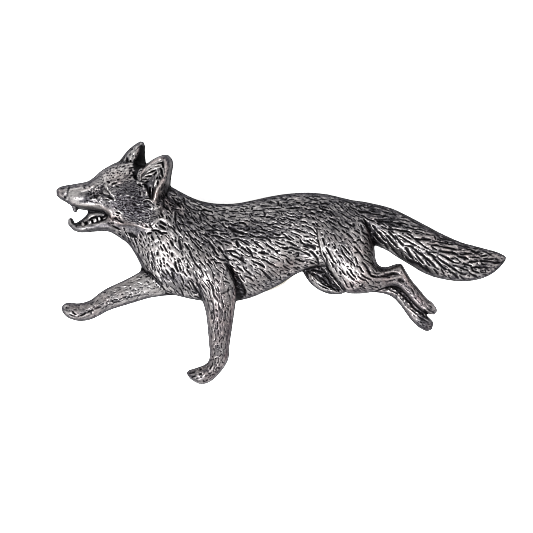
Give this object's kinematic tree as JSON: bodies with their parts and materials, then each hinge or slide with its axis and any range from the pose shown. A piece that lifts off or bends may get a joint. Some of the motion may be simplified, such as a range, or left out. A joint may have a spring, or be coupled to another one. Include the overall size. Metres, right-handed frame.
{
  "type": "lapel pin",
  "caption": "Running fox lapel pin: a cast pewter relief with engraved fur and an antiqued finish, on a steel post held by a round clutch.",
  "frame": {"origin": "centre of the pin's outline, on the surface that the clutch's flat bottom rests on, with the fox face up", "axes": "+X towards the tip of the tail, +Y towards the ears, +Z out of the fox's face and away from the wearer"},
  "size_m": [0.05, 0.027, 0.0125],
  "materials": {
    "antiqued_pewter": "cast pewter, black patina in the recesses and satin on the rubbed ridges",
    "post_steel": "plain drawn steel wire",
    "clutch_nickel": "nickel plated, satin"
  },
  "bodies": {
    "root": {"fox_casting": "antiqued_pewter", "pin_post": "post_steel", "clutch": "clutch_nickel"}
  },
  "joints": []
}
